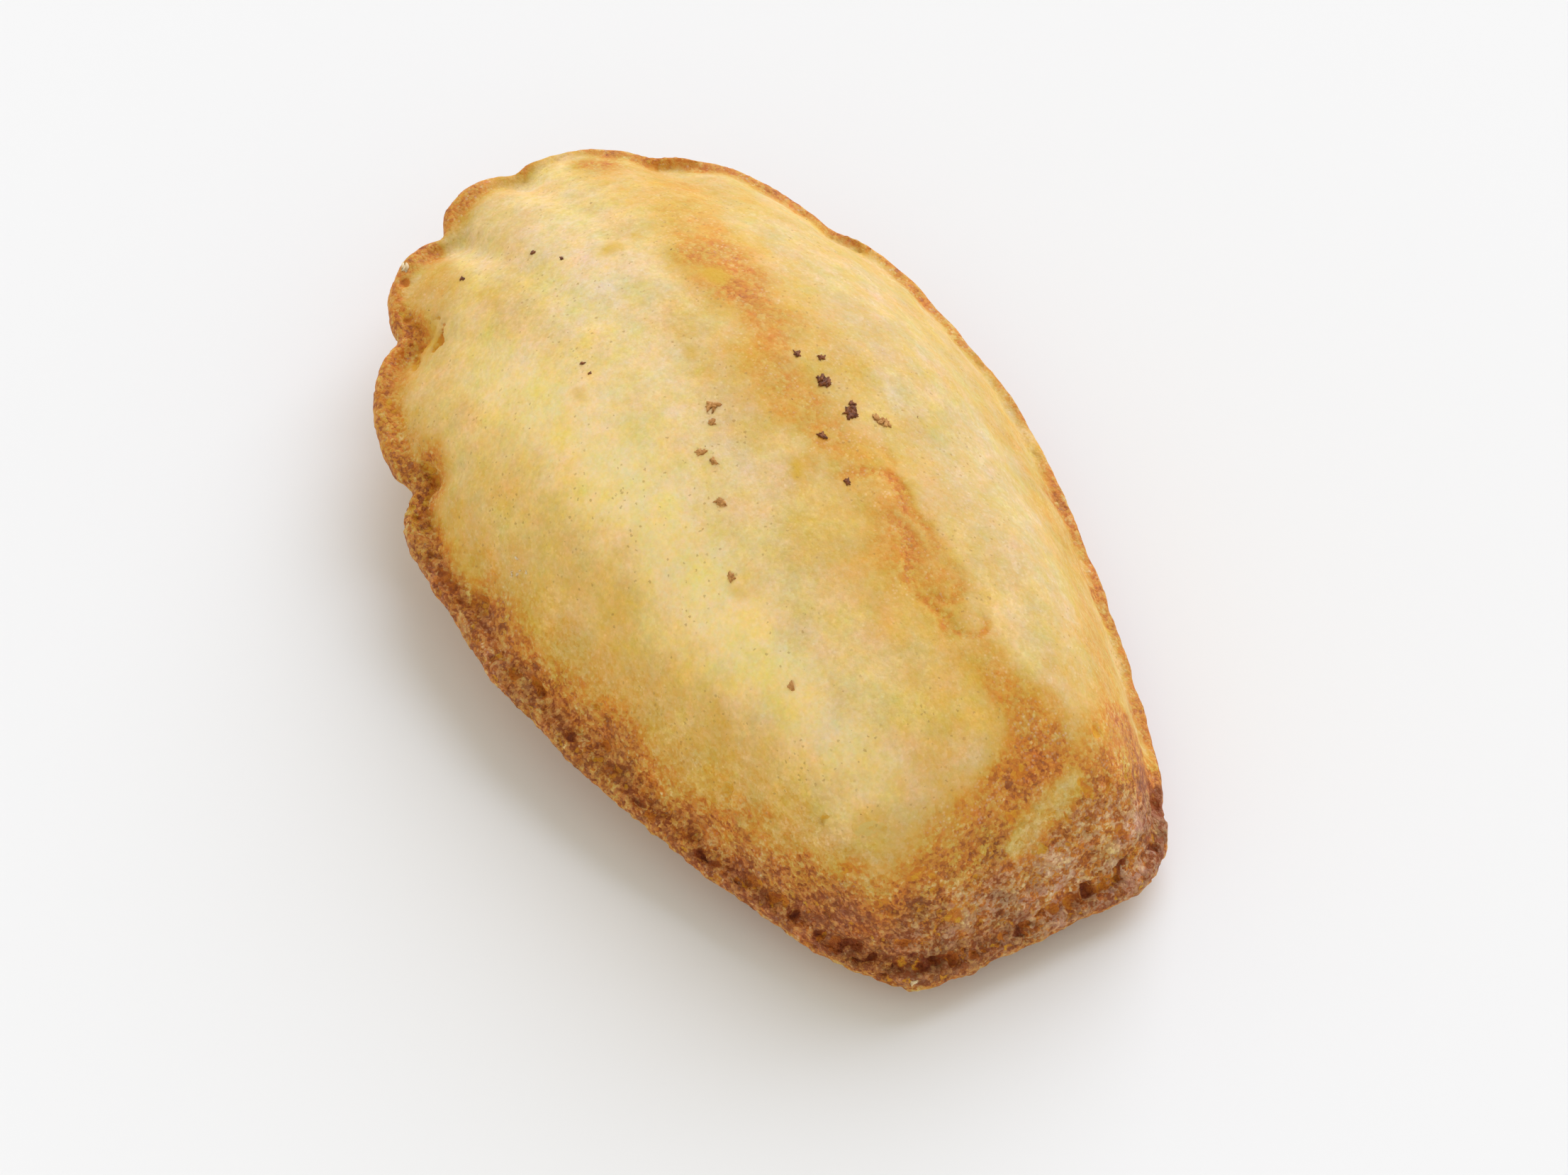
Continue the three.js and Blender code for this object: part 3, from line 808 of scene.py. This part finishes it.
# Colours by how baked the crust is
BAKED_COLOURS = (
    (0.00, linear(245, 221, 169)),
    (0.10, linear(240, 211, 152)),
    (0.20, linear(231, 197, 132)),
    (0.30, linear(218, 180, 109)),
    (0.42, linear(211, 164, 78)),
    (0.52, linear(208, 148, 55)),
    (0.62, linear(206, 131, 42)),
    (0.72, linear(194, 114, 36)),
    (0.84, linear(166, 92, 32)),
    (1.00, linear(140, 70, 25)),
)
ROSY_COLOURS = (
    (0.05, linear(248, 228, 184)),
    (0.25, linear(230, 194, 142)),
    (0.50, linear(200, 150, 106)),
    (0.75, linear(172, 122, 86)),
    (1.00, linear(150, 98, 66)),
)
# Painted glow and shade in hollows, by how much shade they get: amber of light through the crumb, darker
# brown deeper in
HOLLOW_COLOURS = (
    (0.00, linear(210, 182, 104)),
    (0.25, linear(212, 156, 34)),
    (0.45, linear(200, 118, 26)),
    (0.70, linear(162, 82, 22)),
    (1.00, linear(122, 50, 22)),
)
HOLLOW_COVER = 0.9
YOLK_COLOUR = linear(206, 162, 40)
YOLK_COVER = 0.85
CHALKY_LEAN = (0.87, 0.95, 1.14, 1.0)
YELLOW_LEAN = (1.0, 0.985, 0.8, 1.0)

# A noise is given by its size in millimetres, its detail and its roughness, cells by their size.
# A span is where a value starts and ends, and what it then starts and ends at, or else 0 and 1.
CRUMB = (0.7, 3.0, 0.65)
GRAIN_CELLS = 0.42
SPECK_CELLS = 0.22
# How much each counts towards the depth, which paints light and shade into the crumb: what lies
# deeper is painted darker as shade, what stands out paler as light; the cells add random tone
DEPTH_BY_RELIEF = -0.9
DEPTH_BY_CRUMB = -1.0
DEPTH_BY_GRAIN = 0.55
DEPTH_BY_SPECK = 0.6
BLOTCHES = (2.4, 4.0, 0.6)
BLOTCHES_BY_BROWN = (0.25, 0.65, 0.16, 0.34)
DEPTH_BY_BROWN = (0.38, 0.7, 0.09, 0.42)
DEPTH_BY_COARSE = 0.2
PINK_PATCHES = (1.8, 3.0, 0.6)
PINK_BY_PATCH = 0.9
PINK_BY_GRAIN = 0.6
PINK_DEPTH = (0.2, -0.1)
PALE_GRAINS = (0.55, 1.0)
PALE_GRAINS_ROUND = (0.6, 0.3)
PALE_CLUSTERS = (3.2, 4.0, 0.7)
PALE_BY_CLUSTER = (0.4, 0.62, 0.25, 1.0)
PALE_BY_BROWN = (0.2, 0.65, 0.15, 0.9)
PALE_STEP = 0.14
# Tints end with how far red, green and blue stray
TINTS = (3.4, 4.0, 0.85, (0.55, 0.14, 2.0))
BROWN_TINTS = (2.6, 4.0, 0.9, (0.4, 0.3, 0.5))
BROWN_TINTS_BY_BROWN = (0.35, 0.7)
HOLLOW_BY_CRUMB = 0.9
HOLLOW_BY_GRAIN = 0.45
HOLLOW_EDGE = (0.4, 0.7)
HOLLOW_DARKER = -0.6
# Pin-point pores, painted as olive dots of shade in tiny holes
PORE_CLUSTERS = (4.5, 3.0, 0.7)
PORE_CLUSTER_EDGE = (0.44, 0.58)
# Dots: size of the cells they lie in, radius and share of the cells; then their cover and colour
PORE_DOTS = (0.55, 0.1, 0.7)
PORE_COVER = 0.5
PORE_SHADE_COLOUR = linear(164, 124, 62)
SPECK_DOTS = (
    ((1.1, 0.08, 0.5), 0.45, linear(156, 112, 58)),
    ((2.2, 0.1, 0.4), 0.65, linear(118, 72, 36)),
)
GRAIN_BUMP = -0.06 * MM
SPECK_BUMP = -0.04 * MM
CRUMB_BUMP = 0.06 * MM
CRAG_BUMP = 0.4 * MM
GRAIN_BUMP_BY_BROWN = (0.42, 0.7, 0.2, 1.0)
GLOSS_BY_BROWN = (0.2, 0.8, 0.78, 0.6)


class CrustNodes(Nodes):
    """The crust's nodes, with the measures and the textures that most of them share."""

    def __init__(self, name):
        super().__init__(name)
        self.baked = self.measure("baked")
        self.coarse = self.measure("coarse")
        self.crumb = self.noise(*CRUMB)
        self.grain = self.cells(GRAIN_CELLS)
        self.speck = self.cells(SPECK_CELLS)
        # The depth that paints shade into low crumb and light onto raised crumb, from the relief and the
        # bump's noise, with random tone from the cells
        self.depth = self.total(
            self.about_zero(self.measure("relief"), DEPTH_BY_RELIEF),
            self.about_zero(self.crumb, DEPTH_BY_CRUMB),
            self.about_zero(self.grain.chance, DEPTH_BY_GRAIN),
            self.about_zero(self.speck.chance, DEPTH_BY_SPECK),
        )

    def browning(self):
        """How baked the crust is, with blotches, painted shade where the crumb lies deeper and painted light
        where it stands out.
        """
        blotches = self.about_zero(self.noise(*BLOTCHES), self.span(self.baked, *BLOTCHES_BY_BROWN))
        # Painted shade and light: deeper crumb darker, raised crumb paler, more so where it is browner and
        # where it is coarse
        crumb_shade_and_tone = self.times(self.depth, self.span(self.baked, *DEPTH_BY_BROWN))
        torn = self.times(self.times(self.depth, self.coarse), DEPTH_BY_COARSE)
        return self.total(self.baked, blotches, self.total(crumb_shade_and_tone, torn))

    def add_pink_crumb(self, colour, level):
        """Pinkish crumb stands out where the crust is torn and coarse."""
        patches = self.about_zero(self.noise(*PINK_PATCHES), PINK_BY_PATCH)
        grains = self.about_zero(self.grain.tint, PINK_BY_GRAIN)
        high = self.span(self.total(self.depth, patches, grains), *PINK_DEPTH)
        return self.mix(self.times(self.measure("rosy"), high), colour, self.ramp(level, ROSY_COLOURS))

    def add_pale_grains(self, colour, level):
        """Pale grains, more of them the browner the crust is."""
        picked = self.span(self.speck.tint, *PALE_GRAINS)
        grains = self.times(picked, self.span(self.speck.distance, *PALE_GRAINS_ROUND))
        grains = self.times(grains, self.span(self.noise(*PALE_CLUSTERS), *PALE_BY_CLUSTER))
        grains = self.times(grains, self.span(self.baked, *PALE_BY_BROWN))
        paler = self.maths("SUBTRACT", level, PALE_STEP)
        return self.mix(grains, colour, self.ramp(paler, ROSY_COLOURS))

    def add_tints(self, colour):
        """Yellow here and chalky there, in patches of every size."""
        lean = self.mix(self.measure("yellow"), CHALKY_LEAN, YELLOW_LEAN)
        colour = self.mix(1.0, colour, lean, "MULTIPLY")
        colour = self.mix(1.0, colour, self.tints(*TINTS), "MULTIPLY")
        tinted = self.mix(1.0, colour, self.tints(*BROWN_TINTS), "MULTIPLY")
        return self.mix(self.span(self.baked, *BROWN_TINTS_BY_BROWN), colour, tinted)

    def add_hollows(self, colour):
        """Yolk-yellow spots, and painted light and shade in the hollows: an amber glow of light through the
        crumb, darker deeper in.
        """
        colour = self.mix(self.times(self.measure("yolk"), YOLK_COVER), colour, YOLK_COLOUR)
        ragged = self.total(
            self.about_zero(self.crumb, HOLLOW_BY_CRUMB), self.about_zero(self.grain.chance, HOLLOW_BY_GRAIN))
        amber = self.times(self.span(self.total(self.measure("hollow"), ragged), *HOLLOW_EDGE), HOLLOW_COVER)
        # Painted shade in the hollows, broken up by the crumb
        hollow_shade = self.total(self.measure("hollow_shade"), self.times(ragged, HOLLOW_DARKER))
        return self.mix(amber, colour, self.ramp(hollow_shade, HOLLOW_COLOURS))

    def add_dots(self, colour):
        """Pin-point pores in clusters, painted as olive dots of shade, and dark specks."""
        clusters = self.span(self.noise(*PORE_CLUSTERS), *PORE_CLUSTER_EDGE)
        pores = self.times(self.dots(*PORE_DOTS), clusters)
        colour = self.mix(self.times(pores, PORE_COVER), colour, PORE_SHADE_COLOUR)
        for dots, cover, dot_colour in SPECK_DOTS:
            colour = self.mix(self.times(self.dots(*dots), cover), colour, dot_colour)
        return colour

    def fine_relief(self):
        """Grain everywhere, and crags where the crumb is coarse."""
        rounded = self.total(
            self.times(self.grain.distance, GRAIN_BUMP), self.times(self.speck.distance, SPECK_BUMP))
        grainy = self.times(rounded, self.span(self.baked, *GRAIN_BUMP_BY_BROWN))
        crags = self.times(self.total(self.about_zero(self.crumb, CRAG_BUMP), rounded), self.coarse)
        height = self.total(self.about_zero(self.crumb, CRUMB_BUMP), grainy, crags)
        return self.add("Bump", {"Height": height, "Strength": 1.0, "Distance": 1.0}).outputs["Normal"]


def crust_material():
    nodes = CrustNodes("baked_crust")
    level = nodes.browning()
    colour = nodes.ramp(level, BAKED_COLOURS)
    colour = nodes.add_pink_crumb(colour, level)
    colour = nodes.add_pale_grains(colour, level)
    colour = nodes.add_tints(colour)
    colour = nodes.add_hollows(colour)
    colour = nodes.add_dots(colour)
    nodes.fill(nodes.shader, {
        "Base Color": colour,
        "Normal": nodes.fine_relief(),
        "Roughness": nodes.span(nodes.baked, *GLOSS_BY_BROWN),
        "Specular IOR Level": 0.3,
        "Subsurface Weight": 0.12,
        "Subsurface Radius": (1.0, 0.55, 0.25),
        "Subsurface Scale": 0.9 * MM,
    })
    return nodes.material


CRUMB_MOTTLE = (0.25, 3.0, 0.6)
CRUMB_PITTING = (0.12, 3.0, 0.7)
CRUMB_PITTING_DEPTH = 0.05 * MM
BURNT_COLOURS = ((0.3, linear(78, 34, 8)), (0.6, linear(134, 72, 22)), (0.8, linear(180, 116, 50)))
TAN_COLOURS = ((0.3, linear(166, 108, 50)), (0.7, linear(214, 160, 92)))
WHITE_COLOURS = ((0.3, linear(214, 180, 130)), (0.7, linear(240, 226, 190)))


def crumb_material(name, stops, roughness):
    nodes = Nodes(name)
    height = nodes.noise(*CRUMB_PITTING)
    bump = nodes.add("Bump", {"Height": height, "Strength": 1.0, "Distance": CRUMB_PITTING_DEPTH})
    nodes.fill(nodes.shader, {
        "Base Color": nodes.ramp(nodes.noise(*CRUMB_MOTTLE), stops),
        "Normal": bump.outputs["Normal"],
        "Roughness": roughness,
        "Specular IOR Level": 0.3,
    })
    return nodes.material


# ---- Crumbs ----------------------------------------------------
def ground_finder(crust):
    """Gives the place and the normal of the top under a point of the rim frame."""
    polygons = [tuple(face.vertices) for face in crust.mesh.polygons]
    tree = BVHTree.FromPolygons([tuple(place) for place in crust.places], polygons)
    down = Vector(-RIM_UP)

    def find(x, y):
        above = Vector(from_rim(((x, y, ABOVE_CAKE),))[0])
        place, normal, _, _ = tree.ray_cast(above, down)
        return place, normal

    return find


def add_grain(bm, noise, grain_frame, length, width, seed):
    """A ragged grain, two thirds as high as wide, sunk a little into the crust."""
    middle, along, across, normal = grain_frame
    ball = bmesh.ops.create_icosphere(bm, subdivisions=2, radius=1.0)["verts"]
    points = np.array([vertex.co for vertex in ball])
    ragged = 1 + noise.layers(points, *GRAIN_RAGGED, GRAIN_SHIFT * seed)
    points = points * ragged[:, None] * (length / 2, width / 2, width / 3)
    for vertex, (a, b, c) in zip(ball, points * MM):
        vertex.co = middle + along * float(a) + across * float(b) + normal * float(c)


def add_crumb(bm, noise, ground, x, y, length, width, turn, seed):
    """A crumb: a cluster of ragged grains strewn over an oval on the crust."""
    rng = np.random.default_rng((SEED_CRUMBS, seed))
    grain = min(width, max(GRAIN_SIZE, GRAIN_SHARE * width))
    count = max(1, round(GRAIN_CLOSENESS * length * width / grain ** 2))
    cos, sin = math.cos(math.radians(turn)), math.sin(math.radians(turn))
    for number in range(count):
        bearing, out = rng.uniform(0, 2 * math.pi), math.sqrt(rng.uniform(0, 1))
        a = 0.5 * (length - GRAIN_INSET * grain) * out * math.cos(bearing)
        b = 0.5 * (width - GRAIN_INSET * grain) * out * math.sin(bearing)
        place, normal = ground(x + a * cos - b * sin, y + a * sin + b * cos)
        heading = rng.uniform(0, 2 * math.pi)
        side = Vector((math.cos(heading), math.sin(heading), 0.0))
        across = normal.cross(side).normalized()
        size = grain * rng.uniform(*GRAIN_SPREAD)
        middle = place + normal * (GRAIN_HEIGHT * size * MM)
        grain_frame = (middle, across.cross(normal), across, normal)
        grain_seed = CRUMB_SEEDS * seed + number
        add_grain(bm, noise, grain_frame, GRAIN_LENGTH * size, GRAIN_WIDTH * size, grain_seed)


def make_crumbs(name, crumbs, material, ground, seed):
    noise = Noise(SEED_CRUMBS + seed)
    bm = bmesh.new()
    for number, (x, y, length, width, turn) in enumerate(crumbs):
        add_crumb(bm, noise, ground, x, y, length, width, turn, number)
    mesh = bpy.data.meshes.new(name)
    bm.to_mesh(mesh)
    bm.free()
    mesh.shade_smooth()
    mesh.materials.append(material)
    piece = bpy.data.objects.new(name, mesh)
    bpy.context.collection.objects.link(piece)
    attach(piece, "root")


# ---- The pieces ------------------------------------------------
def make_crust():
    piece = smooth_copy(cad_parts["cake"], "crust")
    crust = Crust(piece)
    shape_crust(crust)
    paint_crust(crust)
    piece.data.materials.append(crust_material())
    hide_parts("cake")
    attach(piece, "root")
    return crust


def make_floor():
    half = FLOOR_SIZE / 2
    corners = [(-half, -half, 0), (half, -half, 0), (half, half, 0), (-half, half, 0)]
    mesh = bpy.data.meshes.new("floor")
    mesh.from_pydata(corners, [], [(0, 1, 2, 3)])
    floor = bpy.data.objects.new("floor", mesh)
    bpy.context.collection.objects.link(floor)
    paper = Nodes("floor_paper")
    paper.fill(paper.shader, {"Base Color": FLOOR_COLOUR, "Roughness": 0.9, "Specular IOR Level": 0.1})
    mesh.materials.append(paper.material)


def direction(bearing, elevation):
    """Unit vector at a bearing from +X towards +Y, and an elevation."""
    flat = math.cos(elevation)
    return Vector((math.cos(bearing) * flat, math.sin(bearing) * flat, math.sin(elevation)))


def make_sky():
    """A sky that is brighter low down."""
    world = bpy.data.worlds.new("sky")
    world.use_nodes = True
    tree = world.node_tree
    place = tree.nodes.new("ShaderNodeTexCoord")
    height = tree.nodes.new("ShaderNodeSeparateXYZ")
    strength = tree.nodes.new("ShaderNodeMapRange")
    strength.interpolation_type = "SMOOTHSTEP"
    for name, value in zip(("From Min", "From Max", "To Min", "To Max"), (*SKY_BAND, SKY_HORIZON, SKY_ABOVE)):
        strength.inputs[name].default_value = value
    background = tree.nodes["Background"]
    background.inputs["Color"].default_value = (*SKY_COLOUR, 1)
    tree.links.new(place.outputs["Generated"], height.inputs["Vector"])
    tree.links.new(height.outputs["Z"], strength.inputs["Value"])
    tree.links.new(strength.outputs["Result"], background.inputs["Strength"])
    return world


def make_light():
    sun = bpy.data.lights.new("sun", "SUN")
    sun.energy = SUN_STRENGTH
    sun.angle = SUN_SPREAD
    sun.color = SUN_COLOUR
    lamp = bpy.data.objects.new("sun", sun)
    lamp.rotation_euler = direction(SUN_BEARING, SUN_ELEVATION).to_track_quat("Z", "Y").to_euler()
    bpy.context.collection.objects.link(lamp)
    bpy.context.scene.world = make_sky()
    bpy.context.scene.view_settings.view_transform = "Standard"


def make_camera():
    data = bpy.data.cameras.new("camera")
    data.lens = CAMERA_LENS
    data.sensor_width = SENSOR_WIDTH
    camera = bpy.data.objects.new("camera", data)
    towards = direction(CAMERA_AZIMUTH - math.pi / 2, CAMERA_ELEVATION)
    camera.location = CAMERA_TARGET + towards * CAMERA_DISTANCE
    camera.rotation_euler = towards.to_track_quat("Z", "Y").to_euler()
    bpy.context.collection.objects.link(camera)
    bpy.context.scene.camera = camera


make_camera()
make_light()
make_floor()
cake = make_crust()
ground = ground_finder(cake)
burnt = crumb_material("burnt_crumb", BURNT_COLOURS, roughness=0.45)
toasted = crumb_material("toasted_crumb", TAN_COLOURS, roughness=0.7)
floury = crumb_material("floury_crumb", WHITE_COLOURS, roughness=0.8)
make_crumbs("dark_crumbs", BURNT_CRUMBS, burnt, ground, 1)
make_crumbs("tan_crumbs", TAN_CRUMBS, toasted, ground, 2)
make_crumbs("white_crumbs", WHITE_CRUMBS, floury, ground, 3)
